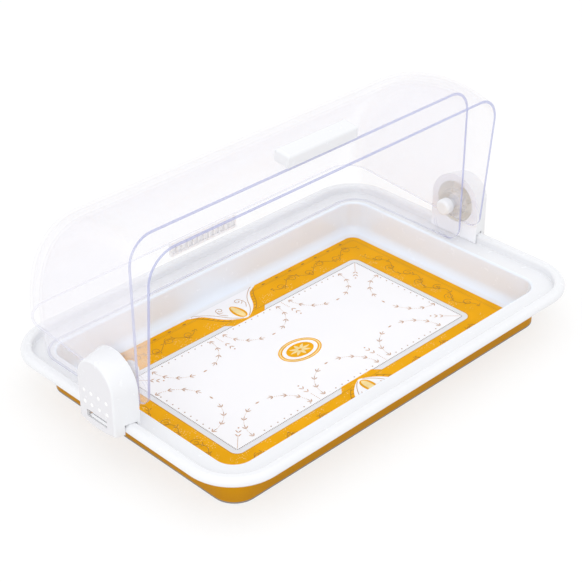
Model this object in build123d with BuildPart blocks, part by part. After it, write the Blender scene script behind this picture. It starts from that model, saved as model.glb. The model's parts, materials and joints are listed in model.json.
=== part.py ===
from build123d import *
import os
from math import cos, hypot, radians, sin

# Roll-top bread box. The long side runs along X, the front faces -Y, and the
# origin is the middle of the underside. Two clear covers turn on one axis.

# Tray
tray_length = 420.0
tray_width = 280.0
rim_corner = 44.0
rim_height = 43.5
rim_skirt_height = 34.0
rim_top_round = 4.6
rim_tuck = 3.6
rim_tuck_round = 2.0
lip_width = 9.6
lip_inner_round = 2.6
lip_step_round = 0.8
channel_wall = 2.4
flange_height = 36.0
flange_thickness = 2.5
flange_end_width = 28.2
flange_side_width = 28.5
basin_corner = 17.0
basin_floor_round = 9.0
basin_edge_round = 2.0
basin_wall = 2.8
floor_height = 3.2
floor_thickness = 2.4
foot_width = 5.0
foot_round = 0.5

# Printed films
film_thickness = 0.3
film_fit = 0.1
floor_film_fit = 0.4
floor_film_corner = 10.0
wall_film_margin = 0.8

# Pivot axis and pins
pivot_height = 70.0
pin_radius = 5.0
pin_running_fit = 0.06
pin_seat_fit = 0.02
pin_head_radius = 7.6
pin_head_thickness = 8.0
pin_head_round = 3.0
side_play = 0.3

# Covers
cover_wall = 2.4
flange_gap = 0.5
cover_lip_gap = 5.3
cover_nest_gap = 5.0
cover_end_gap = 3.3
cover_nest_end_gap = 2.3
rear_corner = 23.0
rear_overlap = 14.6
front_corner = 25.0
front_overlap = 12.2
opening_angle = 85.5
rear_hub_radius = 11.0
front_hub_radius = 13.0
front_hub_reach = 4.6
flute_count = 16
flute_radius = 1.1

# Handles
handle_length = 77.0
handle_drop_angle = 2.6
handle_bond_gap = 0.15
front_handle_width = 16.0
front_handle_depth = 10.5
front_handle_round = 2.6
rear_handle_width = 12.5
rear_handle_clearance = 0.9
rear_handle_round = 1.4
handle_skin = 1.6
handle_rib = 1.0
handle_pocket_count = 12

# Brackets
bracket_step = 2.4
bracket_stand = 8.5
bracket_inner_half = 26.5
bracket_outer_half = 21.0
bracket_inner_rise = 26.9
bracket_outer_rise = 23.5
bracket_foot_rise = 1.0
bracket_bottom_bow = 3.4
bracket_edge_round = 2.4
bracket_skin = 2.4
bracket_fit = 0.25
leg_pocket_half = 18.0
cup_radius = 20.0
cup_depth = 15.5
cup_taper = 12.0
bracket_boss_radius = 8.0
pin_seat_depth = 13.5

# Snap lugs on the ends of the rim, and the bracket's window round each
lug_length = 19.4
lug_shift = 2.2
lug_height = 3.0
lug_drop = 0.3
lug_setback = 0.9
lug_side_fit = 0.2
lug_foot_fit = 0.8
lug_head_fit = 2.6

# Worked out from the sizes above
rim_x = tray_length / 2
lip_inner_length = tray_length - 2 * lip_width
lip_inner_width = tray_width - 2 * lip_width
lip_inner_corner = rim_corner - lip_width
lip_inner_x = lip_inner_length / 2
basin_length = tray_length - 2 * flange_end_width
basin_width = tray_width - 2 * flange_side_width
body_length = basin_length + 2 * basin_wall
body_width = basin_width + 2 * basin_wall
body_corner = basin_corner + basin_wall
floor_film_length = basin_length - 2 * (basin_floor_round + floor_film_fit)
floor_film_width = basin_width - 2 * (basin_floor_round + floor_film_fit)
bracket_inner_x = lip_inner_x - bracket_step
bracket_outer_x = rim_x + bracket_stand
bracket_inner_top = pivot_height + bracket_inner_rise
bracket_outer_top = pivot_height + bracket_outer_rise
bracket_bottom = rim_skirt_height + bracket_foot_rise
cover_drop = pivot_height - flange_height - flange_gap
front_radius = hypot(lip_inner_width / 2 - cover_lip_gap, cover_drop)
rear_radius = front_radius - cover_wall - cover_nest_gap
front_half_length = bracket_inner_x - cover_end_gap
rear_half_length = front_half_length - cover_wall - cover_nest_end_gap
rear_hub_reach = cover_nest_end_gap - side_play
rear_handle_depth = cover_nest_gap - rear_handle_clearance
lug_reach = bracket_stand - lug_setback
lug_underside = rim_height - lug_drop - lug_height
window_length = lug_length + 2 * (lug_shift + lug_side_fit)
window_bottom = lug_underside - lug_foot_fit
window_height = lug_foot_fit + lug_height + lug_head_fit
quarter_angle = 90.0

os.makedirs("parts", exist_ok=True)


def end_plane(x):
    """Plane square to the pivot axis, at a distance along it, local x towards the rear."""
    return Plane(origin=(x, 0, pivot_height), x_dir=(0, 1, 0), z_dir=(1, 0, 0))


def turned_plane(x, turn):
    """The same plane with its local frame turned forward about the pivot axis."""
    angle = radians(turn)
    return Plane(origin=(x, 0, pivot_height), x_dir=(0, cos(angle), sin(angle)), z_dir=(1, 0, 0))


# Tray: basin, flange, raised lip and snap lugs in one moulding
with BuildPart() as tray_blank:
    with BuildSketch(Plane.XY):
        RectangleRounded(body_length, body_width, body_corner)
    extrude(amount=flange_height - flange_thickness / 2)
    fillet(tray_blank.faces().sort_by(Axis.Z)[0].edges(), foot_round)
    with BuildSketch(Plane.XY.offset(rim_skirt_height)):
        RectangleRounded(tray_length, tray_width, rim_corner)
    extrude(amount=rim_height - rim_skirt_height)
    fillet(tray_blank.faces().sort_by(Axis.Z)[-1].edges(), rim_top_round)
    rim_underside = tray_blank.faces().filter_by(Plane.XY).group_by(Axis.Z)[-2].sort_by(SortBy.AREA)[-1]
    chamfer(rim_underside.outer_wire().edges(), rim_tuck)
    tuck_top = tray_blank.edges().filter_by_position(Axis.Z, rim_skirt_height + rim_tuck, rim_skirt_height + rim_tuck)
    fillet(tuck_top, rim_tuck_round)
    with BuildSketch(Plane.XY.offset(flange_height)):
        RectangleRounded(lip_inner_length, lip_inner_width, lip_inner_corner)
    extrude(amount=rim_height - flange_height, mode=Mode.SUBTRACT)
    lip_top = tray_blank.faces().filter_by(Plane.XY).sort_by(Axis.Z)[-1]
    fillet(lip_top.inner_wires()[0].edges(), lip_inner_round)
    well = tray_blank.faces().filter_by(Plane.XY).group_by(Axis.Z)[-2].sort_by(SortBy.AREA)[-1]
    fillet(well.outer_wire().edges(), lip_step_round)

# Basin space, rounded where its wall meets the floor
with BuildPart() as basin_space:
    with BuildSketch(Plane.XY.offset(floor_height)):
        RectangleRounded(basin_length, basin_width, basin_corner)
    extrude(amount=flange_height - floor_height)
    fillet(basin_space.faces().sort_by(Axis.Z)[0].edges(), basin_floor_round)

with BuildPart() as tray:
    add(tray_blank.part)
    add(basin_space.part, mode=Mode.SUBTRACT)
    basin_mouth = tray.faces().filter_by(Plane.XY).group_by(Axis.Z)[-2].sort_by(SortBy.AREA)[-1]
    fillet(basin_mouth.inner_wires()[0].edges(), basin_edge_round)
    # Groove that leaves the raised lip hollow from below
    with BuildSketch(Plane.XY.offset(rim_skirt_height - flange_thickness)):
        RectangleRounded(
            tray_length - 2 * channel_wall,
            tray_width - 2 * channel_wall,
            rim_corner - channel_wall,
        )
        RectangleRounded(
            lip_inner_length + 2 * channel_wall,
            lip_inner_width + 2 * channel_wall,
            lip_inner_corner + channel_wall,
            mode=Mode.SUBTRACT,
        )
    extrude(amount=rim_height - rim_skirt_height + flange_thickness - channel_wall, mode=Mode.SUBTRACT)
    # Recess under the floor, inside the foot
    with BuildSketch(Plane.XY):
        RectangleRounded(
            body_length - 2 * (basin_floor_round + foot_width),
            body_width - 2 * (basin_floor_round + foot_width),
            body_corner,
        )
    extrude(amount=floor_height - floor_thickness, mode=Mode.SUBTRACT)
    # Lugs that the brackets snap over
    lug_inner_x = rim_x - channel_wall / 2
    for side in (-1, 1):
        with BuildSketch(Plane.XY.offset(lug_underside)):
            with Locations((side * (lug_inner_x + rim_x + lug_reach) / 2, -lug_shift)):
                Rectangle(rim_x + lug_reach - lug_inner_x, lug_length)
        extrude(amount=lug_height)
tray.part.label = "tray"
export_step(tray.part, "parts/tray.step")

# Printed film on the basin floor
with BuildPart() as floor_label:
    with BuildSketch(Plane.XY.offset(floor_height)):
        RectangleRounded(floor_film_length, floor_film_width, floor_film_corner)
    extrude(amount=film_thickness)
floor_label.part.label = "floor_label"
export_step(floor_label.part, "parts/floor_label.step")

# Printed film round the outer wall, in a band under the flange
with BuildPart() as wall_label:
    with BuildSketch(Plane.XY.offset(wall_film_margin)):
        RectangleRounded(
            body_length + 2 * (film_fit + film_thickness),
            body_width + 2 * (film_fit + film_thickness),
            body_corner + film_fit + film_thickness,
        )
        RectangleRounded(
            body_length + 2 * film_fit,
            body_width + 2 * film_fit,
            body_corner + film_fit,
            mode=Mode.SUBTRACT,
        )
    extrude(amount=flange_height - flange_thickness - 2 * wall_film_margin)
wall_label.part.label = "wall_label"
export_step(wall_label.part, "parts/wall_label.step")


def drum(radius, half_length, corner):
    """Closed drum about the pivot axis with rounded rims."""
    with BuildPart() as solid:
        with BuildSketch(end_plane(-half_length)):
            Circle(radius)
        extrude(amount=2 * half_length)
        fillet(solid.edges().filter_by(GeomType.CIRCLE), corner)
    return solid.part


rear_outside = drum(rear_radius, rear_half_length, rear_corner)
rear_inside = drum(rear_radius - cover_wall, rear_half_length - cover_wall, rear_corner - cover_wall)
front_outside = drum(front_radius, front_half_length, front_corner)
front_inside = drum(front_radius - cover_wall, front_half_length - cover_wall, front_corner - cover_wall)


def cover_region(turn, overlap, reach, facing):
    """Side view of a cover: what is kept of its drum. facing is 1 for the rear, -1 for the front.

    The corner under the axis is rounded so that it clears the flange as the cover turns.
    """
    round_height = overlap - cover_drop
    arc_middle = overlap * sin(radians(quarter_angle / 2))
    with BuildSketch(turned_plane(0, turn)) as region:
        with BuildLine():
            ThreePointArc(
                (-facing * overlap, round_height),
                (-facing * arc_middle, round_height - arc_middle),
                (0, -cover_drop),
            )
            Polyline(
                (0, -cover_drop),
                (facing * reach, -cover_drop),
                (facing * reach, reach),
                (-facing * overlap, reach),
                (-facing * overlap, round_height),
            )
        make_face()
    return region.sketch


# Rear cover: the inner shell
rear_region = cover_region(0, rear_overlap, rear_radius + cover_wall, 1)
with BuildPart() as rear_cover:
    add(rear_outside)
    add(rear_inside, mode=Mode.SUBTRACT)
    extrude(rear_region, amount=front_half_length, dir=(1, 0, 0), both=True, mode=Mode.INTERSECT)
    for side in (-1, 1):
        with BuildSketch(end_plane(side * rear_half_length)):
            Circle(rear_hub_radius)
        extrude(amount=side * rear_hub_reach)
    with BuildSketch(end_plane(-front_half_length)):
        Circle(pin_radius + pin_running_fit)
    extrude(amount=2 * front_half_length, mode=Mode.SUBTRACT)
rear_cover.part.label = "rear_cover"
export_step(rear_cover.part, "parts/rear_cover.step")

# Front cover: the outer shell, drawn swung back over the rear one
front_region = cover_region(-opening_angle, front_overlap, front_radius + cover_wall, -1)
with BuildPart() as front_cover:
    add(front_outside)
    add(front_inside, mode=Mode.SUBTRACT)
    extrude(front_region, amount=front_half_length, dir=(1, 0, 0), both=True, mode=Mode.INTERSECT)
    for side in (-1, 1):
        with BuildSketch(end_plane(side * front_half_length)):
            Circle(front_hub_radius)
            with PolarLocations(front_hub_radius, flute_count):
                Circle(flute_radius, mode=Mode.SUBTRACT)
        extrude(amount=side * front_hub_reach)
    with BuildSketch(end_plane(-front_half_length - front_hub_reach)):
        Circle(pin_radius + pin_running_fit)
    extrude(amount=2 * (front_half_length + front_hub_reach), mode=Mode.SUBTRACT)
front_cover.part.label = "front_cover"
export_step(front_cover.part, "parts/front_cover.step")


def handle(turn, radius, width, depth, edge_round, seat):
    """Hollow bar along X, standing on a cover's outside at a turn from straight up."""
    plane = turned_plane(-handle_length / 2, turn)
    with BuildPart() as bar:
        with BuildSketch(plane):
            with Locations((0, (radius + depth) / 2)):
                Rectangle(width, radius + depth)
        extrude(amount=handle_length)
        outward = plane.y_dir
        fillet(bar.faces().sort_by(Axis(plane.origin, outward))[-1].edges(), edge_round)
        add(seat, mode=Mode.SUBTRACT)
        top_plane = Plane(
            origin=Vector(0, 0, pivot_height) + outward * radius,
            x_dir=(1, 0, 0),
            z_dir=outward,
        )
        pocket_span = handle_length - 2 * handle_skin
        pocket_pitch = (pocket_span + handle_rib) / handle_pocket_count
        with BuildSketch(top_plane.offset(-depth)):
            with GridLocations(pocket_pitch, width, handle_pocket_count, 1):
                Rectangle(pocket_pitch - handle_rib, width - 2 * handle_skin)
        extrude(amount=2 * depth - handle_skin, mode=Mode.SUBTRACT)
    return bar.part


rear_seat = drum(rear_radius + handle_bond_gap, rear_half_length, rear_corner)
front_seat = drum(front_radius + handle_bond_gap, front_half_length, front_corner)

with BuildPart() as rear_handle:
    add(
        handle(
            -quarter_angle - handle_drop_angle,
            rear_radius,
            rear_handle_width,
            rear_handle_depth,
            rear_handle_round,
            rear_seat,
        )
    )
rear_handle.part.label = "rear_handle"
export_step(rear_handle.part, "parts/rear_handle.step")

with BuildPart() as front_handle:
    add(
        handle(
            quarter_angle + handle_drop_angle - opening_angle,
            front_radius,
            front_handle_width,
            front_handle_depth,
            front_handle_round,
            front_seat,
        )
    )
front_handle.part.label = "front_handle"
export_step(front_handle.part, "parts/front_handle.step")


def arch(x, half_width, top):
    """Outline of a bracket at a distance along X, with a bowed lower edge."""
    with BuildSketch(Plane(origin=(x, 0, 0), x_dir=(0, 1, 0), z_dir=(1, 0, 0))) as outline:
        with BuildLine():
            Line((half_width, bracket_bottom), (half_width, top - half_width))
            ThreePointArc((half_width, top - half_width), (0, top), (-half_width, top - half_width))
            Line((-half_width, top - half_width), (-half_width, bracket_bottom))
            ThreePointArc(
                (-half_width, bracket_bottom),
                (0, bracket_bottom - bracket_bottom_bow),
                (half_width, bracket_bottom),
            )
        make_face()
    return outline.sketch


# Right bracket: a hollow arch that straddles the lip and carries the pin
inner_arch = arch(bracket_inner_x, bracket_inner_half, bracket_inner_top)
outer_arch = arch(bracket_outer_x, bracket_outer_half, bracket_outer_top)
slot_inner_x = lip_inner_x - bracket_fit
slot_outer_x = rim_x + bracket_fit
slot_top = rim_height + bracket_fit
leg_wall_x = bracket_outer_x - bracket_skin
cup_floor_x = bracket_inner_x + cup_depth
boss_face_x = front_half_length + front_hub_reach + side_play
pin_tip_x = boss_face_x + pin_seat_depth
with BuildPart() as right_bracket:
    add(inner_arch)
    add(outer_arch)
    loft()
    fillet(right_bracket.faces().sort_by(Axis.X)[-1].edges(), bracket_edge_round)
    # Cup round the hub, with the boss that holds the pin
    with BuildSketch(end_plane(bracket_inner_x)):
        Circle(cup_radius)
    extrude(amount=cup_depth, taper=cup_taper, mode=Mode.SUBTRACT)
    with BuildSketch(end_plane(boss_face_x)):
        Circle(bracket_boss_radius)
    extrude(amount=cup_floor_x - boss_face_x)
    with BuildSketch(end_plane(boss_face_x)):
        Circle(pin_radius + pin_seat_fit)
    extrude(amount=pin_seat_depth + side_play, mode=Mode.SUBTRACT)
    # Slot for the raised lip, and the step that stands on the flange
    with BuildSketch(Plane.XZ):
        with Locations((slot_inner_x, 0)):
            Rectangle(slot_outer_x - slot_inner_x, slot_top, align=(Align.MIN, Align.MIN))
        with Locations((slot_inner_x, 0)):
            Rectangle(lip_width, flange_height + bracket_fit, align=(Align.MAX, Align.MIN))
    extrude(amount=2 * bracket_inner_half, both=True, mode=Mode.SUBTRACT)
    # Outer leg, hollow from below, and the window for the tray's lug
    with BuildSketch(Plane.XY):
        with Locations((slot_outer_x, 0)):
            Rectangle(leg_wall_x - slot_outer_x, 2 * leg_pocket_half, align=(Align.MIN, Align.CENTER))
    extrude(amount=slot_top, mode=Mode.SUBTRACT)
    with BuildSketch(Plane.YZ.offset(slot_outer_x)):
        with Locations((0, window_bottom)):
            Rectangle(window_length, window_height, align=(Align.CENTER, Align.MIN))
    extrude(amount=bracket_outer_x - slot_outer_x, mode=Mode.SUBTRACT)
right_bracket.part.label = "right_bracket"
export_step(right_bracket.part, "parts/right_bracket.step")

with BuildPart() as left_bracket:
    add(mirror(right_bracket.part, about=Plane.YZ))
left_bracket.part.label = "left_bracket"
export_step(left_bracket.part, "parts/left_bracket.step")

# Right pivot pin: domed head inside the covers, shank pressed into the bracket
head_face_x = rear_half_length - cover_wall - side_play
with BuildPart() as right_pivot_pin:
    with BuildSketch(end_plane(head_face_x)):
        Circle(pin_head_radius)
    extrude(amount=-pin_head_thickness)
    fillet(right_pivot_pin.faces().sort_by(Axis.X)[0].edges(), pin_head_round)
    with BuildSketch(end_plane(head_face_x)):
        Circle(pin_radius)
    extrude(amount=pin_tip_x - head_face_x)
right_pivot_pin.part.label = "right_pivot_pin"
export_step(right_pivot_pin.part, "parts/right_pivot_pin.step")

with BuildPart() as left_pivot_pin:
    add(mirror(right_pivot_pin.part, about=Plane.YZ))
left_pivot_pin.part.label = "left_pivot_pin"
export_step(left_pivot_pin.part, "parts/left_pivot_pin.step")
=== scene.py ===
import json
from math import atan2, cos, pi, radians, sin, tau

import bmesh
import bpy
from bpy.props import FloatProperty, FloatVectorProperty, IntProperty, PointerProperty
from mathutils import Matrix, Vector


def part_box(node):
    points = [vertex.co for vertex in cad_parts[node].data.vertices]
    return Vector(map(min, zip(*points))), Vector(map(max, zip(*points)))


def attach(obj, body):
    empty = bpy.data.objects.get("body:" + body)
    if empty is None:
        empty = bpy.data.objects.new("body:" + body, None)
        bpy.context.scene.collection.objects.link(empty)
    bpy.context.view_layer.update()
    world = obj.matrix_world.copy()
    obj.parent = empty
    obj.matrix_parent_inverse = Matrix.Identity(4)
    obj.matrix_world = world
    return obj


bl_info = {
    "name": "Roll-top bread box",
    "version": (1, 0, 0),
    "blender": (4, 5, 0),
    "location": "View3D > Sidebar > Bread box",
    "description": "Finishes and prints of a white bread box with clear nested covers",
    "category": "Object",
}

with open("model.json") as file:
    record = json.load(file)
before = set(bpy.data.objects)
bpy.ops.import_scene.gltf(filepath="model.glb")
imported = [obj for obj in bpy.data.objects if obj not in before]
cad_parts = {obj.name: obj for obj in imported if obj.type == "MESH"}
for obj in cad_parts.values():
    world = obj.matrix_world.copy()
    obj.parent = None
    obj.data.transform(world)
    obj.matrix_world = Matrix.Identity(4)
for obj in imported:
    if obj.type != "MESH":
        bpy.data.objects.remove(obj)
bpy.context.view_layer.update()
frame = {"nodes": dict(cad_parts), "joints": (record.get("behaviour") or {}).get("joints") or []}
nodes = frame["nodes"]
MM = 0.001
PIVOT = Vector(frame["joints"][0]["pos_m"])
OPEN_TURN = radians(frame["joints"][0]["range_deg"][1])
FLOOR_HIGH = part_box("floor_label")[1]
REAR_LOW, REAR_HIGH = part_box("rear_cover")
BRACKET_LOW, BRACKET_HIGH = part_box("left_bracket")
WALL_LOW, WALL_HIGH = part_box("wall_label")

# Finishes: noise scales are in cells per metre
PLASTIC_IOR = 1.49
CLOUD_SCALE = 9
GRAIN_SCALE = 900
SCUFF_SCALE = 140
HAZE_SCALE = 5
RIPPLE_SCALE = 26
WAVE_SCALE = 7
PAPER_SCALE = 12
INK_SCALE = 35
INK_PATCH_SCALE = 160
INK_SPECULAR = 0.05
SPECK_SCALE = 620
SPECK_PATCH_SCALE = 90
FILM_GRAIN_SCALE = 300
# Painted cool light on the basin's inner wall, against the gold's warm bounce light
BASIN_PAINTED_LIGHT = (0.85, 0.91, 1.0)
# Painted light on the brackets' inner faces, against the gold's warm bounce light
INNER_FACE_PAINTED_LIGHT = (0.96, 0.97, 1.0)
# Painted shade on the brackets' outer faces
OUTER_FACE_PAINTED_SHADE = (0.79, 0.785, 0.815)
# Painted light, a little cream, on the shaded cups of the brackets
CUP_PAINTED_LIGHT = (0.99, 0.96, 0.87)
# A white brighter than the plastic: painted light on the grip dots and on the rear handle
PAINTED_LIGHT_WHITE = (0.95, 0.95, 0.96)
CLEAR_TINT = (0.996, 0.996, 0.999)
# Painted shade on the gold of the outer wall
WALL_PAINTED_SHADE = (0.28, 0.1, 0.001)
# A dark grey line at the wall's foot, partly a printed line and partly painted contact shadow
FOOT_LINE_AND_PAINTED_SHADOW = (0.3, 0.28, 0.26)

# Moulded parts: where a finish or the painted light changes, and the dots on the brackets
BASIN_MARGIN = 11 * MM
BASIN_CORNER = 19 * MM
CUP_RADIUS = 20 * MM
FRONT_OVERLAP = 12.2 * MM
EDGE_HALF = 0.12 * MM
EDGE_SOFT = 0.1 * MM
FAINT_EDGE = 0.45
ROUND_EDGE = 0.8
EDGE_DENSITY = 0.75
LEAST_VEIL = 0.008
HAZE_VEIL = 0.016
GRAZING_VEIL = 0.36
END_PANEL_VEIL = 0.14
DOT_ROW_HEIGHTS = (62.8 * MM, 52.4 * MM)
DOT_PLACES = (13.3 * MM, 4.9 * MM, -4.0 * MM, -13.2 * MM)
DOT_RADIUS = 1.9 * MM
DOT_HEIGHT = 0.5 * MM

# The print's height, rules, and the swellings and openings at the middle of the long sides
PRINT_HEIGHT = FLOOR_HIGH.z
PRINT_LIFT = 0.06 * MM
SOFT = 0.15 * MM
DASH_PITCH = 1.7 * MM
BEAD_INSET = 3.3 * MM
BEAD_RADIUS = 0.65 * MM
SWELL_DEPTH = 6.4 * MM
SWELL_FOOT = 18 * MM
SWELL_HALF = 26 * MM
OPENING_HEIGHT = 35 * MM
OPENING_CURVE = 0.7
OPENING_BOW = 1.5 * MM
OPENING_SHOULDER = 6.5 * MM
OGEE_LINE = 0.5 * MM
OGEE_GAP = 4.6 * MM
BUD_MIDDLE = 80 * MM

# Garlands on the panel
GARLAND_START = radians(22.875)
GARLAND_END = radians(88)
GARLAND_INSET_X = 8.4 * MM
GARLAND_INSET_Y = 10.4 * MM
END_GARLAND_RADIUS = 34.5 * MM
ARROW_SPREAD = radians(36)
ARROW_WIDTH = 0.15
STEM_DASH = 1.2 * MM
STEM_SPACING = 1.8 * MM
STEM_LINE = 0.4 * MM
LOW_LEAF = 4.4 * MM
DROP_RADIUS = 0.8 * MM
DROP_DOT_RADIUS = 0.45 * MM

# Vines on the gold
VINE_SHIFT = 1.5 * MM
VINE_SWING = 5.2 * MM
VINE_PERIOD = 36 * MM
VINE_LINE = 0.45 * MM
VINE_LEAF = 3.6 * MM
VINE_LEAF_SPREAD = radians(42)
VINE_LEAF_SPACING = 12 * MM
LONG_VINE_MIDDLE = 101 * MM
LONG_VINE_HALF = 55 * MM
SHORT_VINE_HALF = 66 * MM
CURL_PITCH = 18 * MM
CURL_OFFSET = 2.2 * MM
CURL_SIZE = 5 * MM
FIRST_CURL = 56 * MM
BORDER_BEAD = 4.2 * MM
BORDER_BEAD_START = 46 * MM
BORDER_BEAD_PITCH = 17 * MM
BORDER_BEAD_INSET = 4.4 * MM

# The rosette
OVAL_SIDES = 72
OVAL_SQUASH = 0.68
ROSETTE_STEP = 0.02 * MM

# The stage
WORLD_STRENGTH = 0.98
FLOOR_HALF = 6
FLOOR_WHITE = 0.7
CLEAR_WALL_BOUNCES = 32


# Settings


def length(name, description, default):
    return FloatProperty(name=name, description=description, default=default, unit="LENGTH", precision=5)


def angle(name, description, degrees):
    return FloatProperty(
        name=name, description=description, default=radians(degrees), subtype="ANGLE", unit="ROTATION"
    )


def colour(name, description, default):
    return FloatVectorProperty(
        name=name, description=description, default=default, subtype="COLOR", size=3, min=0, max=1
    )


class PrintSettings(bpy.types.PropertyGroup):
    band_outer_x: length("Band outer half length", "Outer edge of the gold band", 171.8 * MM)
    band_outer_y: length("Band outer half width", "Outer edge of the gold band", 102.2 * MM)
    band_outer_corner: length("Band outer corner", "Corner radius of the gold band", 10 * MM)
    panel_x: length("Panel half length", "Inner edge of the gold band", 141.4 * MM)
    panel_y: length("Panel half width", "Inner edge of the gold band", 71 * MM)
    panel_corner: length("Panel corner", "Corner radius inside the gold band", 7.5 * MM)
    strip_width: length("Strip width", "Width of the pale strip inside the band", 5.4 * MM)
    bead_pitch: length("Bead pitch", "Distance between the beads of the row", 7.4 * MM)
    festoon_radius: length("Festoon radius", "Half the length of a hanging garland", 32.3 * MM)
    print_shift: length("Print shift", "How far the panel's print lies off the middle", -2.2 * MM)
    festoon_pitch: length("Festoon pitch", "Distance between garlands along the long sides", 80 * MM)
    garland_depth: length("Garland depth", "How far a garland hangs", 29 * MM)
    leaf_length: length("Leaf length", "Length of a printed leaf", 4.2 * MM)
    garland_leaves: IntProperty(name="Garland leaves", description="Leaf pairs in a garland", default=9)


class ColourSettings(bpy.types.PropertyGroup):
    plastic: colour("White plastic", "Tray, brackets, pins and handles", (0.85, 0.86, 0.885))
    gold: colour("Gold", "Printed gold", (0.86, 0.405, 0.002))
    dark_gold: colour("Dark gold", "Line work on the gold", (0.44, 0.2, 0.04))
    pale_gold: colour("Pale gold", "Specks and buds on the gold", (0.94, 0.74, 0.36))
    paper: colour("Panel white", "White of the printed panel", (0.92, 0.915, 0.935))
    strip: colour("Strip grey", "Pale strip round the panel", (0.76, 0.765, 0.79))
    sprig: colour("Sprig brown", "Garlands and beads", (0.6, 0.38, 0.255))
    cover: colour("Cover tint", "Clear plastic of the covers", (0.95, 0.94, 0.985))
    cover_edge: colour("Cover edge", "Cut edges of the clear plastic", (0.46, 0.49, 0.76))


class StageSettings(bpy.types.PropertyGroup):
    azimuth: angle("Azimuth", "Where the camera stands round the box", -44.475)
    elevation: angle("Elevation", "How high the camera stands", 31.845)
    roll: angle("Roll", "How far the camera leans", -0.232)
    distance: length("Distance", "From the camera to its target", 1.24016)
    lens: FloatProperty(
        name="Lens", description="Focal length on a 36 mm sensor", default=91.59, unit="CAMERA"
    )
    target: FloatVectorProperty(
        name="Target",
        description="What the camera looks at",
        default=(-0.00626, 0.00618, 0.0603),
        subtype="TRANSLATION",
        size=3,
    )


class BreadBoxSettings(bpy.types.PropertyGroup):
    print: PointerProperty(type=PrintSettings)
    colours: PointerProperty(type=ColourSettings)
    stage: PointerProperty(type=StageSettings)


# Shader expressions


class Wire:
    """A shader socket that takes part in Python arithmetic."""

    def __init__(self, shader, socket):
        self.shader = shader
        self.socket = socket

    def _math(self, operation, *others):
        values = {i + 1: other for i, other in enumerate(others)}
        return self.shader.node("ShaderNodeMath", {"operation": operation}, {0: self, **values})

    def __add__(self, other):
        return self._math("ADD", other)

    def __sub__(self, other):
        return self._math("SUBTRACT", other)

    def __mul__(self, other):
        return self._math("MULTIPLY", other)

    def __truediv__(self, other):
        return self._math("DIVIDE", other)

    def __pow__(self, other):
        return self._math("POWER", other)

    def __radd__(self, other):
        return self + other

    def __rmul__(self, other):
        return self * other

    def __rsub__(self, other):
        return self * -1 + other

    def __rtruediv__(self, other):
        return self ** -1 * other

    def __abs__(self):
        return self._math("ABSOLUTE")

    def least(self, other):
        return self._math("MINIMUM", other)

    def most(self, other):
        return self._math("MAXIMUM", other)

    def fraction(self):
        return self._math("FRACT")

    def sine(self):
        return self._math("SINE")

    def clamped(self):
        return self.least(1).most(0)

    def ramp(self, low, high):
        """0 at low and 1 at high, smoothly; low may be the larger."""
        settings = {"interpolation_type": "SMOOTHSTEP"}
        if low < high:
            return self.shader.node("ShaderNodeMapRange", settings, {0: self, 1: low, 2: high})
        return 1 - self.shader.node("ShaderNodeMapRange", settings, {0: self, 1: high, 2: low})

    def near(self, middle, half_width, soft):
        """1 within half_width of middle, falling to 0 over soft."""
        return abs(self - middle).ramp(half_width + soft, half_width)


class Shader:
    """One material under construction."""

    def __init__(self, name):
        self.material = bpy.data.materials.new(name)
        self.material.use_nodes = True
        self.tree = self.material.node_tree
        self.tree.nodes.clear()

    def node(self, kind, settings=None, values=None, out=0):
        """Adds a node, sets its settings and then its sockets, and returns one output as a Wire."""
        made = self.tree.nodes.new(kind)
        for name, value in (settings or {}).items():
            setattr(made, name, value)
        for name, value in (values or {}).items():
            self.plug(value, made.inputs[name])
        return None if out is None else Wire(self, made.outputs[out])

    def plug(self, value, socket):
        if isinstance(value, Wire):
            self.tree.links.new(value.socket, socket)
        elif hasattr(value, "__len__") and len(value) == 3 and socket.type == "RGBA":
            socket.default_value = (*value, 1)
        else:
            socket.default_value = value

    def place(self):
        """Object coordinates as x, y and z."""
        point = self.node("ShaderNodeTexCoord", out="Object")
        first = self.node("ShaderNodeSeparateXYZ", None, {0: point})
        return [Wire(self, output) for output in first.socket.node.outputs]

    def noise(self, scale, detail, roughness=0.5):
        point = self.node("ShaderNodeTexCoord", out="Object")
        values = {"Vector": point, "Scale": scale, "Detail": detail, "Roughness": roughness}
        return self.node("ShaderNodeTexNoise", None, values, out="Fac")

    def cells(self, scale):
        """Distance to the nearest of scattered points."""
        point = self.node("ShaderNodeTexCoord", out="Object")
        return self.node("ShaderNodeTexVoronoi", None, {"Vector": point, "Scale": scale}, out="Distance")

    def mix(self, share, first, second):
        """Colour first where share is 0 and second where it is 1."""
        colour_sockets = {0: share, 6: first, 7: second}
        return self.node("ShaderNodeMix", {"data_type": "RGBA"}, colour_sockets, out=2)

    def bump(self, height, strength, distance):
        values = {"Height": height, "Strength": strength, "Distance": distance}
        return self.node("ShaderNodeBump", None, values, out="Normal")

    def surface(self, **values):
        """A Principled shader; underscores in names stand for spaces."""
        named = {name.replace("_", " "): value for name, value in values.items()}
        return self.node("ShaderNodeBsdfPrincipled", None, named)

    def done(self, shader):
        self.node("ShaderNodeOutputMaterial", None, {"Surface": shader}, out=None)
        return self.material


def dimmed(tint, share):
    return tuple(share * c for c in tint)


def dress(node, material):
    """Gives a CAD node's object its material."""
    for slot in nodes[node].material_slots:
        slot.material = material


# Materials


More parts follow.
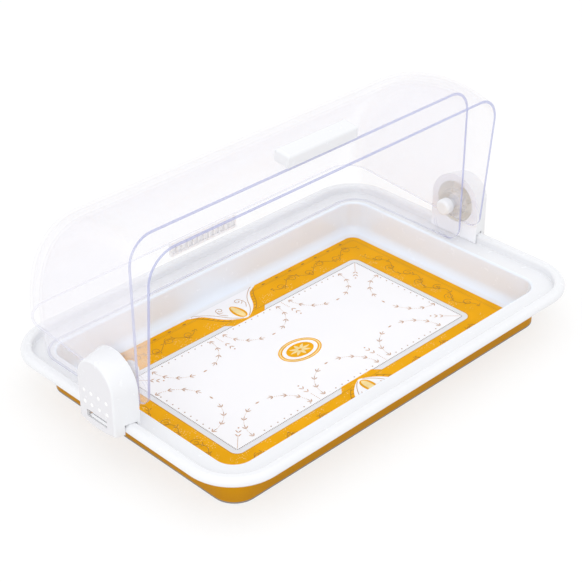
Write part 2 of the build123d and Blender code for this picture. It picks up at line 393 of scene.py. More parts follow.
def white_plastic(name, tint, shade=None):
    """Glossy moulded plastic: faint cloudiness, flow lines and fine scuffs; shade, if given, paints light
    and shade into its colour.
    """
    s = Shader(name)
    cloud = s.noise(CLOUD_SCALE, 3)
    grain = s.noise(GRAIN_SCALE, 2)
    scuff = s.noise(SCUFF_SCALE, 4, 0.65).ramp(0.56, 0.72)
    base = s.mix(cloud.ramp(0.3, 0.7), dimmed(tint, 0.975), tint)
    if shade:
        base = shade(s, base)
    return s.done(
        s.surface(
            Base_Color=base,
            Roughness=0.2 + cloud * 0.07 + scuff * 0.06,
            Normal=s.bump(grain * 0.6 + cloud * 3, 0.07, 0.4 * MM),
            IOR=PLASTIC_IOR,
            Coat_Weight=0.15,
            Coat_Roughness=0.08,
        )
    )


def basin_painted_light(s, base):
    """Painted cool light on the basin's wall, against the warm light that the gold bounces onto it."""
    x, y, z = s.place()
    half_x = FLOOR_HIGH.x + BASIN_MARGIN
    half_y = FLOOR_HIGH.y + BASIN_MARGIN
    inside = rounded_distance(x, y, half_x, half_y, BASIN_CORNER).ramp(1 * MM, -1 * MM)
    return s.mix(inside * z.ramp(3 * MM, 5 * MM), base, BASIN_PAINTED_LIGHT)


def bracket_painted_light_and_shade(s, base):
    """Painted shade on a bracket's outer face, and painted light on its inner face and its cup."""
    x, y, z = s.place()
    depth = -BRACKET_LOW.x - abs(x)
    inner_face = (abs(x) + BRACKET_HIGH.x).ramp(0.4 * MM, 0.1 * MM)
    from_pin = ((y - PIVOT.y) ** 2 + (z - PIVOT.z) ** 2) ** 0.5
    in_cup = from_pin.ramp(CUP_RADIUS + 0.2 * MM, CUP_RADIUS - 0.2 * MM) * (1 - inner_face)
    base = s.mix(depth.ramp(0.3 * MM, 0.05 * MM), base, OUTER_FACE_PAINTED_SHADE)
    base = s.mix(inner_face, base, INNER_FACE_PAINTED_LIGHT)
    return s.mix(in_cup * depth.ramp(4 * MM, 5 * MM), base, CUP_PAINTED_LIGHT)


def clear_plastic(name, turn, overlap, drop, densities, colours):
    """Clear moulded plastic with denser cut edges, found from the cover's upright and lower planes."""
    s = Shader(name)
    x, y, z = s.place()
    across = (y - PIVOT.y) * cos(turn) + (z - PIVOT.z) * sin(turn)
    up = (z - PIVOT.z) * cos(turn) - (y - PIVOT.y) * sin(turn)
    corner = abs(overlap)
    above_corner = up + drop - corner
    upright_edge = across.near(overlap, EDGE_HALF, EDGE_SOFT) * densities[0]
    lower_edge = up.near(-drop, EDGE_HALF, EDGE_SOFT) * densities[1]
    reach = (across * across + above_corner * above_corner) ** 0.5
    round_edge = reach.near(corner, EDGE_HALF, EDGE_SOFT) * above_corner.ramp(0, -0.2 * MM) * ROUND_EDGE
    edge = upright_edge.most(lower_edge).most(round_edge)
    facing = s.node("ShaderNodeLayerWeight", None, {"Blend": 0.4}, out="Facing")
    haze = s.noise(HAZE_SCALE, 2) * HAZE_VEIL
    end_panel = abs(x).ramp(REAR_HIGH.x - 7 * MM, REAR_HIGH.x - 2 * MM)
    veil = LEAST_VEIL + haze + (facing ** 3) * GRAZING_VEIL + end_panel * END_PANEL_VEIL
    ripple = s.noise(RIPPLE_SCALE, 2) * 1.2 + s.noise(WAVE_SCALE, 1) * 4
    skin = s.surface(
        Base_Color=s.mix(edge, tuple(colours.cover), tuple(colours.cover_edge)),
        Roughness=0.06 + haze,
        Normal=s.bump(ripple, 0.12, 1 * MM),
        IOR=PLASTIC_IOR,
        Specular_IOR_Level=0.8,
    )
    through = s.node("ShaderNodeBsdfTransparent", None, {"Color": CLEAR_TINT})
    share = veil.most(edge * EDGE_DENSITY).clamped()
    return s.done(s.node("ShaderNodeMixShader", None, {0: share, 1: through, 2: skin}))


def rounded_distance(x, y, half_x, half_y, corner):
    """Signed distance to a rounded rectangle, negative inside."""
    over_x = abs(x) - (half_x - corner)
    over_y = abs(y) - (half_y - corner)
    outside = (over_x.most(0) ** 2 + over_y.most(0) ** 2) ** 0.5
    return outside + over_x.most(over_y).least(0) - corner


def gold_colour(s, colours, glitter):
    """Printed gold: uneven ink, and pale specks where glitter is 1; also returns the ink's unevenness."""
    cloud = s.noise(INK_SCALE, 3)
    ink_tint = s.mix(cloud.ramp(0.35, 0.7), dimmed(colours.gold, 0.93), tuple(colours.gold))
    specks = s.cells(SPECK_SCALE).ramp(0.3, 0.18) * s.noise(SPECK_PATCH_SCALE, 1).ramp(0.5, 0.6)
    return s.mix(specks * glitter, ink_tint, tuple(colours.pale_gold)), cloud


def film_surface(s, base, rough):
    """The satin skin that both printed films have."""
    normal = s.bump(s.noise(FILM_GRAIN_SCALE, 2), 0.08, 0.2 * MM)
    return s.surface(Base_Color=base, Roughness=rough, Normal=normal, Specular_IOR_Level=INK_SPECULAR)


def swelling(p, x, y):
    """1 on the gold that swells into the panel at the middle of each long side."""
    past_foot = abs(y) - p.panel_y + SWELL_DEPTH
    within = abs(x).ramp(SWELL_HALF, SWELL_HALF - 0.1 * MM)
    slant = (abs(x) - SWELL_FOOT - past_foot).ramp(0.2 * MM, 0)
    return within * past_foot.ramp(0, SOFT) * slant


def opening(p, x, y):
    """1 in the white ogee opening in the gold at the middle of each long side."""
    rise = (abs(y) - (p.band_outer_y - OPENING_HEIGHT)) / OPENING_HEIGHT
    spread = (rise.most(0.0001) ** OPENING_CURVE) * OPENING_HEIGHT
    half = spread + (rise * tau).sine() * OPENING_BOW + rise.ramp(0.8, 1.04) * OPENING_SHOULDER
    return (half - abs(x)).ramp(-SOFT, SOFT) * rise.ramp(-0.004, 0.004)


def bead_row(p, inner, run, on_long, y):
    """1 on the beads that stand in a row inside the dotted rule."""
    cell = (run / p.bead_pitch + 0.5).fraction() - 0.5
    from_row = inner + p.strip_width + BEAD_INSET
    reach = ((cell * p.bead_pitch) ** 2 + from_row ** 2) ** 0.5
    bead = reach.ramp(BEAD_RADIUS + SOFT, BEAD_RADIUS - 0.1 * MM)
    on_long_side = abs((run / p.festoon_pitch + 0.5).fraction() - 0.5).ramp(0.37, 0.36) * on_long
    on_short_side = abs(y).ramp(35 * MM, 34 * MM) * (1 - on_long)
    return bead * (on_long_side + on_short_side)


def floor_print(settings):
    """The film on the basin floor: gold band, pale strip, dotted rules and bead rows on white."""
    p, colours = settings.print, settings.colours
    s = Shader("floor_print")
    x, y, _ = s.place()
    inner = rounded_distance(x, y, p.panel_x, p.panel_y, p.panel_corner)
    outer = rounded_distance(x, y, p.band_outer_x, p.band_outer_y, p.band_outer_corner)
    beyond_opening = 1 - opening(p, x, y)
    gold_area = inner.ramp(-SOFT, SOFT).most(swelling(p, x, y)) * beyond_opening * outer.ramp(SOFT, -SOFT)
    strip_area = inner.ramp(-p.strip_width - SOFT, -p.strip_width + SOFT) * beyond_opening
    gold, cloud = gold_colour(s, colours, inner.ramp(17 * MM, 10 * MM) * 0.85)
    paper = s.mix(s.noise(PAPER_SCALE, 2).ramp(0.3, 0.7), dimmed(colours.paper, 0.985), tuple(colours.paper))
    # Where a point lies along the nearest side, for what repeats there
    past_diagonal = (abs(y) - (p.panel_y - p.strip_width)) - (abs(x) - (p.panel_x - p.strip_width))
    on_long = past_diagonal.ramp(-SOFT, SOFT)
    run = x * on_long + y * (1 - on_long)
    dash = (run / DASH_PITCH).fraction().near(0.5, 0.22, 0.12)
    strip_rule = inner.near(-p.strip_width, 0.4 * MM, SOFT) * dash
    inner_rule = inner.near(0.45 * MM, 0.4 * MM, SOFT) * dash
    outer_rules = outer.near(-6.6 * MM, 0.3 * MM, SOFT).most(outer.near(-5.2 * MM, 0.2 * MM, SOFT)) * dash
    base = s.mix(strip_area, paper, tuple(colours.strip))
    base = s.mix(strip_rule * 0.95, base, dimmed(colours.sprig, 0.22))
    base = s.mix(bead_row(p, inner, run, on_long, y) * 0.95, base, dimmed(colours.sprig, 0.7))
    base = s.mix(gold_area, base, gold)
    base = s.mix(inner_rule * gold_area * 0.8, base, tuple(colours.dark_gold))
    base = s.mix(outer_rules * gold_area * 0.7, base, tuple(colours.dark_gold))
    return s.done(film_surface(s, base, 0.3 + cloud * 0.1 - gold_area * 0.04))


def wall_print(colours):
    """The gold film round the outer wall, in painted shade that darkens its gold and grows towards its foot,
    with a thin grey line along its foot that is partly painted contact shadow.
    """
    s = Shader("wall_print")
    z = s.place()[2]
    gold, cloud = gold_colour(s, colours, 0)
    height = (z - WALL_LOW.z) / (WALL_HIGH.z - WALL_LOW.z)
    # Painted shade: the wall gold is darker than the floor's, and darker still towards its foot
    gold_in_painted_shade = s.mix(0.3, gold, WALL_PAINTED_SHADE)
    gold_painted_darker_to_foot = s.mix(height.ramp(0.75, 0.1) * 0.3, gold_in_painted_shade, tuple(colours.dark_gold))
    # The foot line is partly painted contact shadow
    foot = (z - WALL_LOW.z).ramp(1.5 * MM, 1.1 * MM)
    return s.done(film_surface(s, s.mix(foot, gold_painted_darker_to_foot, FOOT_LINE_AND_PAINTED_SHADOW), 0.3 + cloud * 0.1))


def ink(name, tint, variation=0.12):
    """Flat printed ink with slight unevenness."""
    s = Shader(name)
    patch = s.noise(INK_PATCH_SCALE, 2).ramp(0.3, 0.7)
    base = s.mix(patch, dimmed(tint, 1 - variation), tuple(tint))
    return s.done(s.surface(Base_Color=base, Roughness=0.34 + patch * 0.06, Specular_IOR_Level=INK_SPECULAR))


# Mesh helpers


def new_object(name, mesh):
    made = bpy.data.objects.new(name, mesh)
    bpy.context.scene.collection.objects.link(made)
    return made


def add_plate(bm, outline, base, height, index=0):
    """Adds one closed plate to a mesh: outline is a list of (x, y)."""
    low = [bm.verts.new((x, y, base)) for x, y in outline]
    high = [bm.verts.new((x, y, base + height)) for x, y in outline]
    faces = [bm.faces.new(high), bm.faces.new(low[::-1])]
    for i in range(len(outline)):
        j = (i + 1) % len(outline)
        faces.append(bm.faces.new((low[i], low[j], high[j], high[i])))
    for face in faces:
        face.material_index = index


def mesh_object(name, bm, materials, shift=(0, 0, 0)):
    """Turns a finished BMesh into an object at the origin, with its faces outward."""
    bmesh.ops.recalc_face_normals(bm, faces=bm.faces)
    mesh = bpy.data.meshes.new(name)
    bm.to_mesh(mesh)
    bm.free()
    mesh.transform(Matrix.Translation(shift))
    for material in materials:
        mesh.materials.append(material)
    return new_object(name, mesh)


def plates(name, outlines, material, base=PRINT_HEIGHT, thickness=PRINT_LIFT):
    """Thin printed plates, raised a hair above the film."""
    bm = bmesh.new()
    for outline in outlines:
        add_plate(bm, outline, base, thickness)
    return mesh_object(name, bm, [material])


def ellipse(x, y, half_x, half_y, sides):
    return [(x + half_x * cos(tau * i / sides), y + half_y * sin(tau * i / sides)) for i in range(sides)]


def disc(x, y, radius, sides):
    return ellipse(x, y, radius, radius, sides)


def leaf(x, y, heading, size, width, steps=5):
    """Outline of a pointed leaf from its foot at (x, y)."""
    sides = []
    for side in (1, -1):
        run = []
        for i in range(steps + 1):
            t = i / steps
            half = side * width * size * sin(pi * t) ** 0.8 * (1 - 0.35 * t)
            run.append((t * size, half))
        sides.append(run)
    outline = sides[0] + sides[1][-2:0:-1]
    c, s = cos(heading), sin(heading)
    return [(x + c * u - s * v, y + s * u + c * v) for u, v in outline][::-1]


def ribbon(points, width):
    """Outline of a band of even width along a line of points."""
    normals = []
    for i in range(len(points)):
        before = Vector(points[max(i - 1, 0)])
        after = Vector(points[min(i + 1, len(points) - 1)])
        along = (after - before).normalized()
        normals.append(Vector((-along.y, along.x)) * width / 2)
    left = [Vector(p) + n for p, n in zip(points, normals)]
    right = [Vector(p) - n for p, n in zip(points, normals)]
    return [tuple(v) for v in left] + [tuple(v) for v in right[::-1]]


def arc_line(centre, half_x, half_y, start, end, steps=64):
    angles = [start + (end - start) * i / steps for i in range(steps + 1)]
    return [(centre[0] + half_x * cos(a), centre[1] + half_y * sin(a)) for a in angles]


def scroll(cx, cy, size, start, turns, hand, steps=40):
    """A curl that winds inward."""
    line = []
    for i in range(steps + 1):
        t = i / steps
        r = size * (1 - 0.82 * t)
        a = start + hand * tau * turns * t
        line.append((cx + r * cos(a), cy + r * sin(a)))
    return line


def mirrored(line, end, side):
    """A line flipped across x by end and across y by side, each 1 or -1."""
    return [(end * x, side * y) for x, y in line]


# Geometry Nodes


class Tree:
    """A geometry node tree under construction, with named inputs."""

    def __init__(self, name, inputs):
        self.tree = bpy.data.node_groups.new(name, "GeometryNodeTree")
        self.tree.interface.new_socket("Geometry", in_out="INPUT", socket_type="NodeSocketGeometry")
        for label, kind in inputs.items():
            self.tree.interface.new_socket(label, in_out="INPUT", socket_type="NodeSocket" + kind)
        self.tree.interface.new_socket("Geometry", in_out="OUTPUT", socket_type="NodeSocketGeometry")
        self.start = self.node("NodeGroupInput").outputs

    def node(self, kind, settings=None, values=None):
        made = self.tree.nodes.new(kind)
        for name, value in (settings or {}).items():
            setattr(made, name, value)
        for name, value in (values or {}).items():
            if isinstance(value, bpy.types.NodeSocket):
                self.tree.links.new(value, made.inputs[name])
            else:
                made.inputs[name].default_value = value
        return made

    def finish(self, instances):
        realized = self.node("GeometryNodeRealizeInstances", None, {"Geometry": instances})
        dressing = {"Geometry": realized.outputs["Geometry"], "Material": self.start["Material"]}
        dressed = self.node("GeometryNodeSetMaterial", None, dressing)
        self.node("NodeGroupOutput", None, {"Geometry": dressed.outputs["Geometry"]})

    def apply(self, holder, values):
        """Runs the tree on an object and leaves a plain mesh in its place."""
        modifier = holder.modifiers.new(self.tree.name, "NODES")
        modifier.node_group = self.tree
        for item in self.tree.interface.items_tree:
            if item.item_type == "SOCKET" and item.in_out == "INPUT" and item.name in values:
                modifier[item.identifier] = values[item.name]
        graph = bpy.context.evaluated_depsgraph_get()
        mesh = bpy.data.meshes.new_from_object(holder.evaluated_get(graph))
        name = holder.name
        bpy.data.objects.remove(holder)
        return new_object(name, mesh)


def flat_curves(name, lines):
    """A curve object with one straight-sided spline for each line."""
    curve = bpy.data.curves.new(name + "_path", "CURVE")
    curve.dimensions = "3D"
    for line in lines:
        spline = curve.splines.new("POLY")
        spline.points.add(len(line) - 1)
        for point, (x, y) in zip(spline.points, line):
            point.co = (x, y, 0, 1)
    return new_object(name, curve)


def along_curves(name, lines, motif, material, spacing=0.0, count=0):
    """Places a motif object at even steps along flat lines, facing the way they run."""
    tree = Tree(
        name,
        {"Spacing": "Float", "Count": "Int", "Motif": "Object", "Height": "Float", "Material": "Material"},
    )
    start = tree.start
    steps = {"Count": start["Count"]} if count else {"Length": start["Spacing"]}
    points = tree.node(
        "GeometryNodeCurveToPoints",
        {"mode": "COUNT" if count else "LENGTH"},
        {"Curve": start["Geometry"], **steps},
    )
    shape = tree.node("GeometryNodeObjectInfo", None, {"Object": start["Motif"]})
    align = tree.node(
        "FunctionNodeAlignRotationToVector",
        {"axis": "X", "pivot_axis": "Z"},
        {"Vector": points.outputs["Tangent"]},
    )
    placed = tree.node(
        "GeometryNodeInstanceOnPoints",
        None,
        {
            "Points": points.outputs["Points"],
            "Instance": shape.outputs["Geometry"],
            "Rotation": align.outputs["Rotation"],
        },
    )
    lift = tree.node("ShaderNodeCombineXYZ", None, {"Z": start["Height"]})
    raised = tree.node(
        "GeometryNodeTranslateInstances",
        None,
        {
            "Instances": placed.outputs["Instances"],
            "Translation": lift.outputs["Vector"],
            "Local Space": False,
        },
    )
    tree.finish(raised.outputs["Instances"])
    values = {
        "Spacing": spacing,
        "Count": count,
        "Motif": motif,
        "Height": PRINT_HEIGHT,
        "Material": material,
    }
    made = tree.apply(flat_curves(name, lines), values)
    bpy.data.objects.remove(motif)
    return made


def finished(piece):
    """Parents a piece to the base body's empty."""
    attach(piece, "base")


# Pieces


class BREADBOX_OT_tray(bpy.types.Operator):
    """Finish the white tray"""

    bl_idname = "breadbox.tray"
    bl_label = "Tray"

    def execute(self, context):
        colours = context.scene.bread_box.colours
        # The basin wall gets painted cool light
        dress("tray", white_plastic("tray_plastic", colours.plastic, basin_painted_light))
        return {"FINISHED"}


class BREADBOX_OT_brackets(bpy.types.Operator):
    """Finish the end brackets and their raised grip dots"""

    bl_idname = "breadbox.brackets"
    bl_label = "Brackets"

    def execute(self, context):
        colours = context.scene.bread_box.colours
        # Painted shade on the brackets' outer faces, painted light on their inner faces and cups
        plastic = white_plastic("bracket_plastic", colours.plastic, bracket_painted_light_and_shade)
        dress("left_bracket", plastic)
        dress("right_bracket", plastic)
        # The grip dots are painted lighter than the face they stand on
        finished(grip_dots(white_plastic("dot_plastic", PAINTED_LIGHT_WHITE)))
        return {"FINISHED"}


class BREADBOX_OT_pins(bpy.types.Operator):
    """Finish the pivot pins"""

    bl_idname = "breadbox.pins"
    bl_label = "Pivot pins"

    def execute(self, context):
        colours = context.scene.bread_box.colours
        plastic = white_plastic("pin_plastic", colours.plastic)
        dress("left_pivot_pin", plastic)
        dress("right_pivot_pin", plastic)
        return {"FINISHED"}


class BREADBOX_OT_handles(bpy.types.Operator):
    """Finish the two handles"""

    bl_idname = "breadbox.handles"
    bl_label = "Handles"

    def execute(self, context):
        colours = context.scene.bread_box.colours
        dress("front_handle", white_plastic("handle_plastic", colours.plastic))
        # The rear handle is painted lighter against the shade behind the covers
        dress("rear_handle", white_plastic("rear_handle_plastic", PAINTED_LIGHT_WHITE))
        return {"FINISHED"}


class BREADBOX_OT_covers(bpy.types.Operator):
    """Finish the clear covers"""

    bl_idname = "breadbox.covers"
    bl_label = "Covers"

    def execute(self, context):
        colours = context.scene.bread_box.colours
        drop = PIVOT.z - REAR_LOW.z
        rear = clear_plastic("rear_cover_plastic", 0, REAR_LOW.y, drop, (1, FAINT_EDGE), colours)
        front = clear_plastic(
            "front_cover_plastic", -OPEN_TURN, FRONT_OVERLAP, drop, (FAINT_EDGE, 1), colours
        )
        dress("rear_cover", rear)
        dress("front_cover", front)
        return {"FINISHED"}


class BREADBOX_OT_print(bpy.types.Operator):
    """Finish the printed films and lay the garlands and line work on the basin floor"""

    bl_idname = "breadbox.print"
    bl_label = "Printed films"

    def execute(self, context):
        settings = context.scene.bread_box
        p, colours = settings.print, settings.colours
        dress("floor_label", floor_print(settings))
        dress("wall_label", wall_print(colours))
        sprig = ink("sprig_ink", colours.sprig)
        dark = ink("line_ink", colours.dark_gold)
        gold = ink("gold_ink", colours.gold)
        pale = ink("pale_ink", colours.pale_gold)
        white = ink("white_ink", colours.paper, 0.03)
        for piece in (
            garlands(p, sprig),
            garland_stems(p, sprig),
            drops(p, sprig),
            vine_leaves(p, dark),
            vine_stems(p, dark),
            ogee_lines(p, dark),
            *buds(gold, pale),
            medallion(p, (gold, pale, white)),
        ):
            finished(piece)
        return {"FINISHED"}


class BREADBOX_OT_stage(bpy.types.Operator):
    """Set the floor, the lamps and the camera"""

    bl_idname = "breadbox.stage"
    bl_label = "Stage"

    def execute(self, context):
        make_floor()
        make_lamps()
        make_camera(context.scene.bread_box.stage)
        context.scene.view_settings.view_transform = "Standard"
        # The nested covers stack more clear walls than the default of 8 allows
        context.scene.cycles.transparent_max_bounces = CLEAR_WALL_BOUNCES
        return {"FINISHED"}


def grip_dots(material):
    """Two rows of raised dots on each bracket's outer face, by instances on points."""
    seeds = [
        (side * -BRACKET_LOW.x, y, z) for side in (-1, 1) for z in DOT_ROW_HEIGHTS for y in DOT_PLACES
    ]
    mesh = bpy.data.meshes.new("bracket_dots")
    mesh.from_pydata(seeds, [], [])
    tree = Tree("grip_dots", {"Radius": "Float", "Height": "Float", "Material": "Material"})
    radius = tree.start["Radius"]
    dome = tree.node("GeometryNodeMeshUVSphere", None, {"Segments": 16, "Rings": 8, "Radius": 1.0})
    size = tree.node("ShaderNodeCombineXYZ", None, {"X": tree.start["Height"], "Y": radius, "Z": radius})
    placed = tree.node(
        "GeometryNodeInstanceOnPoints",
        None,
        {
            "Points": tree.start["Geometry"],
            "Instance": dome.outputs["Mesh"],
            "Scale": size.outputs["Vector"],
        },
    )
    tree.finish(placed.outputs["Instances"])
    values = {"Radius": DOT_RADIUS, "Height": DOT_HEIGHT, "Material": material}
    made = tree.apply(new_object("bracket_dots", mesh), values)
    for polygon in made.data.polygons:
        polygon.use_smooth = True
    return made


def garland_lines(p):
    """Half arcs that hang from the panel's edges, each from near its lowest point to its end."""
    lines = []
    top = p.panel_y - GARLAND_INSET_Y
    for column in (-1, 0, 1):
        for side in (-1, 1):
            for end in (-1, 1):
                centre = (column * p.festoon_pitch + p.print_shift, side * top)
                low = -side * pi / 2
                turn = side * end
                first, last = low + turn * GARLAND_START, low + turn * GARLAND_END
                lines.append(arc_line(centre, p.festoon_radius, p.garland_depth, first, last))
    for side in (-1, 1):
        for end in (-1, 1):
            centre = (side * (p.panel_x - GARLAND_INSET_X), 0)
            low = pi if side > 0 else 0
            turn = -side * end
            first, last = low + turn * GARLAND_START, low + turn * GARLAND_END
            lines.append(arc_line(centre, p.garland_depth, END_GARLAND_RADIUS, first, last))
    return lines


def garlands(p, material):
    """Arrow-shaped sprigs of paired leaves along the hanging arcs."""
    outlines = [
        leaf(2.4 * MM, -turn * 0.1 * MM, pi + turn * ARROW_SPREAD, p.leaf_length, ARROW_WIDTH)
        for turn in (-1, 1)
    ]
    outlines.append(leaf(-3.4 * MM, 0, 0, 5.8 * MM, 0.07))
    motif = plates("sprig_motif", outlines, material, base=0)
    return along_curves("garlands", garland_lines(p), motif, material, count=p.garland_leaves // 2)


def garland_stems(p, material):
    """Fine dotted stems of the garlands."""
    motif = plates("stem_motif", [leaf(-STEM_DASH / 2, 0, 0, STEM_DASH, 0.24, 3)], material, base=0)
    return along_curves("garland_stems", garland_lines(p), motif, material, spacing=STEM_SPACING)


def arrow(x, y, heading, size):
    """Two leaves that meet in a tip at (x, y)."""
    return [leaf(x, y, heading + pi + turn * ARROW_SPREAD, size, ARROW_WIDTH) for turn in (-1, 1)]


def corner_sprig(p, sx, sy):
    """A short stem, two arrows and a dot that point into one corner of the panel."""
    corner_x = p.panel_x - p.strip_width - 1.5 * MM
    corner_y = p.panel_y - p.strip_width - 1.5 * MM

    def inward(reach):
        return sx * (corner_x - reach), sy * (corner_y - reach)

    outlines = [ribbon([inward(reach * MM) for reach in (0, 5, 10)], STEM_LINE)]
    for reach in (10.5, 14.0):
        outlines += arrow(*inward(reach * MM), atan2(sy, sx), p.leaf_length)
    outlines.append(disc(*inward(18.5 * MM), DROP_RADIUS, 10))
    return outlines


def drops(p, material):
    """Dotted drops between the garlands, their lowest leaves and the corner sprigs."""
    outlines = []
    strip_edge = p.panel_y - p.strip_width
    for side in (-1, 1):
        low = side * (p.panel_y - GARLAND_INSET_Y - p.garland_depth)
        for column in (-1, 0, 1):
            x = column * p.festoon_pitch + p.print_shift
            outlines.append(leaf(x - LOW_LEAF / 2, low, 0, LOW_LEAF, 0.2))
        x = side * (p.panel_x - GARLAND_INSET_X - p.garland_depth)
        outlines.append(leaf(x, -LOW_LEAF / 2, pi / 2, LOW_LEAF, 0.2))
    for sx in (-1, 1):
        for sy in (-1, 1):
            x = sx * p.festoon_pitch / 2 + p.print_shift
            for i in range(6):
                outlines.append(disc(x, sy * (strip_edge - (2.4 + 1.9 * i) * MM), DROP_DOT_RADIUS, 8))
            for reach in (15.5, 21.0):
                outlines += arrow(x, sy * (strip_edge - reach * MM), sy * pi / 2, p.leaf_length)
            outlines.append(disc(x, sy * (strip_edge - 27.0 * MM), DROP_RADIUS, 10))
            outlines += corner_sprig(p, sx, sy)
    return plates("drops", outlines, material)


def vine_wave(half_length, steps=240):
    """A gently waving line along a straight border."""
    places = [-half_length + 2 * half_length * i / steps for i in range(steps + 1)]
    return [(x, VINE_SWING * sin(tau * x / VINE_PERIOD)) for x in places]


def vine_middle(p):
    """How far the vines' centre lines lie from the middle of the print, along x and y."""
    x = (p.band_outer_x + p.panel_x) / 2 - VINE_SHIFT
    y = (p.band_outer_y + p.panel_y) / 2 - VINE_SHIFT
    return x, y


def border_runs(p):
    """Centre lines of the vines on the four borders, in two halves on the long sides."""
    mid_x, mid_y = vine_middle(p)
    runs = []
    for side in (-1, 1):
        for end in (-1, 1):
            line = [(x + LONG_VINE_MIDDLE, y + mid_y) for x, y in vine_wave(LONG_VINE_HALF)]
            runs.append(mirrored(line, end, side))
        runs.append([(side * (mid_x + y), x) for x, y in vine_wave(SHORT_VINE_HALF)])
    return runs


def vine_leaves(p, material):
    """Leaves in pairs along the vines on the gold."""
    outlines = [
        leaf(0, 0.3 * MM, VINE_LEAF_SPREAD, VINE_LEAF, 0.12),
        leaf(1.6 * MM, -0.3 * MM, -VINE_LEAF_SPREAD, VINE_LEAF, 0.12),
    ]
    motif = plates("vine_motif", outlines, material, base=0)
    return along_curves("vine_leaves", border_runs(p), motif, material, spacing=VINE_LEAF_SPACING)


def curl(place, k):
    """The scroll at a place along a vine, wound to the other side for every second k."""
    hand = 1 if k % 2 else -1
    return scroll(place, hand * CURL_OFFSET, CURL_SIZE, hand * pi / 2, 1.3, -hand)


def vine_stems(p, material):
    """Stems and curls of the vines, and the beads of the outer border."""
    outlines = [ribbon(run[::3], VINE_LINE) for run in border_runs(p)]
    mid_x, mid_y = vine_middle(p)
    for side in (-1, 1):
        for end in (-1, 1):
            for k in range(6):
                line = [(x, y + mid_y) for x, y in curl(FIRST_CURL + k * CURL_PITCH, k)]
                outlines.append(ribbon(mirrored(line, end, side), VINE_LINE))
            for k in range(7):
                x = BORDER_BEAD_START + k * BORDER_BEAD_PITCH
                bead = leaf(x, p.band_outer_y - BORDER_BEAD_INSET, 0, BORDER_BEAD, 0.24)
                outlines.append(mirrored(bead, end, side))
        for k in range(-3, 4):
            line = [(side * (mid_x + y), x) for x, y in curl(k * CURL_PITCH, k)]
            outlines.append(ribbon(line, VINE_LINE))
    return plates("vine_stems", outlines, material)


def opening_half(rise):
    """Half width of the white opening at a share of its height, without its shoulder."""
    return OPENING_HEIGHT * max(rise, 0) ** OPENING_CURVE + OPENING_BOW * sin(tau * rise)


def ogee_lines(p, material):
    """Line work round the white openings at the middle of the long sides."""
    foot = p.band_outer_y - OPENING_HEIGHT
    tips = [k / 24 for k in range(1, 25)]
    edges = [k / 20 for k in range(3, 20)]
    inner = [(opening_half(t) - OGEE_GAP * sin(pi * t) ** 0.7, foot + OPENING_HEIGHT * t) for t in tips]
    lines = [
        scroll(11 * MM, 92.5 * MM, 4.4 * MM, -pi / 2, 1.35, 1),
        [*inner, (opening_half(25 / 24), p.band_outer_y)],
        [(15.4 * MM, 91 * MM), (15 * MM, 86 * MM), (11 * MM, 81 * MM)],
        [(opening_half(t) + 4.2 * MM, foot + OPENING_HEIGHT * t) for t in edges],
    ]
    for k in range(7):
        t = 0.2 + 0.11 * k
        x = opening_half(t)
        y = foot + OPENING_HEIGHT * t
        lines.append([(x + 0.4 * MM, y), (x + 4.2 * MM, y - 0.5 * MM)])
    outlines = [
        ribbon(mirrored(line, end, side), OGEE_LINE) for side in (-1, 1) for end in (-1, 1) for line in lines
    ]
    return plates("ogee_lines", outlines, material)


def buds(gold, pale):
    """A bud in each opening: a husk with a paler heart on it."""
    made = []
    for name, half, tall, material, lift in (
        ("bud_husks", 5.6 * MM, 10.6 * MM, gold, 0.6),
        ("bud_hearts", 3.2 * MM, 9.6 * MM, pale, 1.2),
    ):
        angles = [tau * k / 28 for k in range(28)]
        outline = [(half * cos(a) * (1 - 0.15 * sin(a)), BUD_MIDDLE + tall * sin(a)) for a in angles]
        outlines = [mirrored(outline, 1, side) for side in (-1, 1)]
        made.append(plates(name, outlines, material, thickness=PRINT_LIFT * lift))
    return made


def medallion(p, materials):
    """An oval rosette at the middle of the panel, in stacked plates of gold, pale gold and white."""
    bm = bmesh.new()
    ovals = [(21.7, 15.0, 0), (20.6, 14.0, 1), (19.4, 12.9, 0), (18.0, 11.6, 2), (14.0, 9.0, 0)]
    for level, (half_x, half_y, index) in enumerate(ovals, 1):
        outline = ellipse(0, 0, half_x * MM, half_y * MM, OVAL_SIDES)
        add_plate(bm, outline, PRINT_HEIGHT, level * ROSETTE_STEP, index)
    for k in range(8):
        a = tau * k / 8
        petal = leaf(0.8 * MM * cos(a), 0.6 * MM * sin(a), a, 10.5 * MM, 0.2, 8)
        squashed = [(x, y * OVAL_SQUASH) for x, y in petal]
        add_plate(bm, squashed, PRINT_HEIGHT, 6 * ROSETTE_STEP, 1)
    add_plate(bm, ellipse(0, 0, 1.8 * MM, 1.3 * MM, OVAL_SIDES), PRINT_HEIGHT, 7 * ROSETTE_STEP, 0)
    return mesh_object("medallion", bm, materials, (p.print_shift - 1.2 * MM, -1.6 * MM, 0))


# Stage


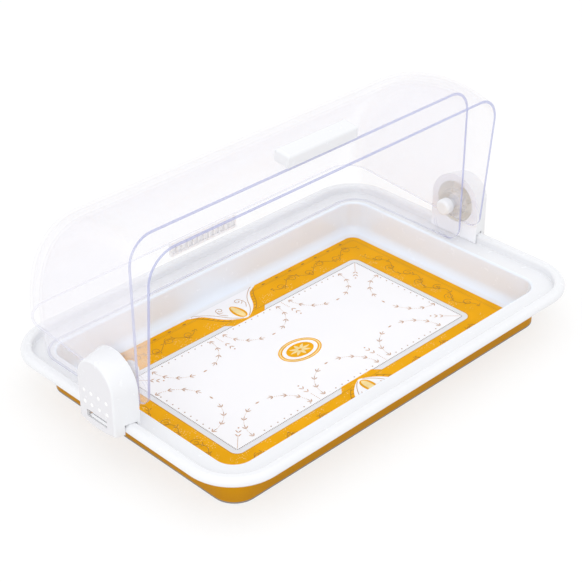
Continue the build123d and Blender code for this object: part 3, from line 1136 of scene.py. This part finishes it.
def make_floor():
    """A pale floor that the camera sees as white, with the object's shadow."""
    s = Shader("floor_finish")
    direct = s.node("ShaderNodeLightPath", out="Is Camera Ray")
    glossy = s.node("ShaderNodeLightPath", out="Is Glossy Ray")
    through = s.node("ShaderNodeLightPath", out="Is Transmission Ray")
    seen = direct.most(glossy).most(through)
    base = s.mix(seen, (0.8, 0.8, 0.8), (1, 1, 1))
    matt = s.surface(Base_Color=base, Roughness=0.7, Specular_IOR_Level=0.0)
    white = s.node("ShaderNodeEmission", None, {"Color": (1, 1, 1), "Strength": 1.0})
    material = s.done(s.node("ShaderNodeMixShader", None, {0: seen * FLOOR_WHITE, 1: matt, 2: white}))
    bm = bmesh.new()
    bmesh.ops.create_grid(bm, x_segments=1, y_segments=1, size=FLOOR_HALF)
    mesh = bpy.data.meshes.new("stage_floor")
    bm.to_mesh(mesh)
    bm.free()
    mesh.materials.append(material)
    new_object("stage_floor", mesh)


def make_lamps():
    """A white world with one soft lamp overhead and one from the left."""
    scene = bpy.context.scene
    world = bpy.data.worlds.new("studio")
    scene.world = world
    world.use_nodes = True
    background = world.node_tree.nodes["Background"]
    background.inputs["Color"].default_value = (1, 1, 1, 1)
    background.inputs["Strength"].default_value = WORLD_STRENGTH
    for name, place, size, power in (
        ("top_lamp", (0.15, -0.2, 1.6), 1.6, 3),
        ("left_lamp", (-1.5, -0.9, 0.9), 1.0, 6),
    ):
        light = bpy.data.lights.new(name, "AREA")
        light.size = size
        light.energy = power
        lamp = bpy.data.objects.new(name, light)
        scene.collection.objects.link(lamp)
        lamp.location = place
        lamp.rotation_euler = (-Vector(place)).to_track_quat("-Z", "Y").to_euler()


def make_camera(stage):
    """The camera that stands where the photo's stood, round its target."""
    scene = bpy.context.scene
    data = bpy.data.cameras.new("photo_camera")
    data.sensor_width = 36
    data.lens = stage.lens
    data.clip_start = 0.05
    camera = bpy.data.objects.new("photo_camera", data)
    scene.collection.objects.link(camera)
    azimuth, elevation, roll = stage.azimuth, stage.elevation, stage.roll
    forward = Vector((-sin(azimuth) * cos(elevation), cos(azimuth) * cos(elevation), -sin(elevation)))
    right = forward.cross(Vector((0, 0, 1))).normalized()
    up = right.cross(forward)
    turned_right = right * cos(roll) + up * sin(roll)
    turned_up = up * cos(roll) - right * sin(roll)
    facing = Matrix((turned_right, turned_up, -forward)).transposed().to_4x4()
    place = Vector(stage.target) - forward * stage.distance
    camera.matrix_world = Matrix.Translation(place) @ facing
    scene.camera = camera


# Panel and registration


class BREADBOX_PT_panel(bpy.types.Panel):
    bl_label = "Bread box"
    bl_idname = "BREADBOX_PT_panel"
    bl_space_type = "VIEW_3D"
    bl_region_type = "UI"
    bl_category = "Bread box"

    def draw(self, context):
        for operator in OPERATORS:
            self.layout.operator(operator.bl_idname)


OPERATORS = (
    BREADBOX_OT_tray,
    BREADBOX_OT_brackets,
    BREADBOX_OT_pins,
    BREADBOX_OT_handles,
    BREADBOX_OT_covers,
    BREADBOX_OT_print,
    BREADBOX_OT_stage,
)
CLASSES = (PrintSettings, ColourSettings, StageSettings, BreadBoxSettings, *OPERATORS, BREADBOX_PT_panel)


def register():
    for kind in CLASSES:
        bpy.utils.register_class(kind)
    bpy.types.Scene.bread_box = PointerProperty(type=BreadBoxSettings)


def unregister():
    del bpy.types.Scene.bread_box
    for kind in reversed(CLASSES):
        bpy.utils.unregister_class(kind)


def main():
    register()
    for operator in OPERATORS:
        group, name = operator.bl_idname.split(".")
        getattr(getattr(bpy.ops, group), name)()


if __name__ == "__main__":
    main()
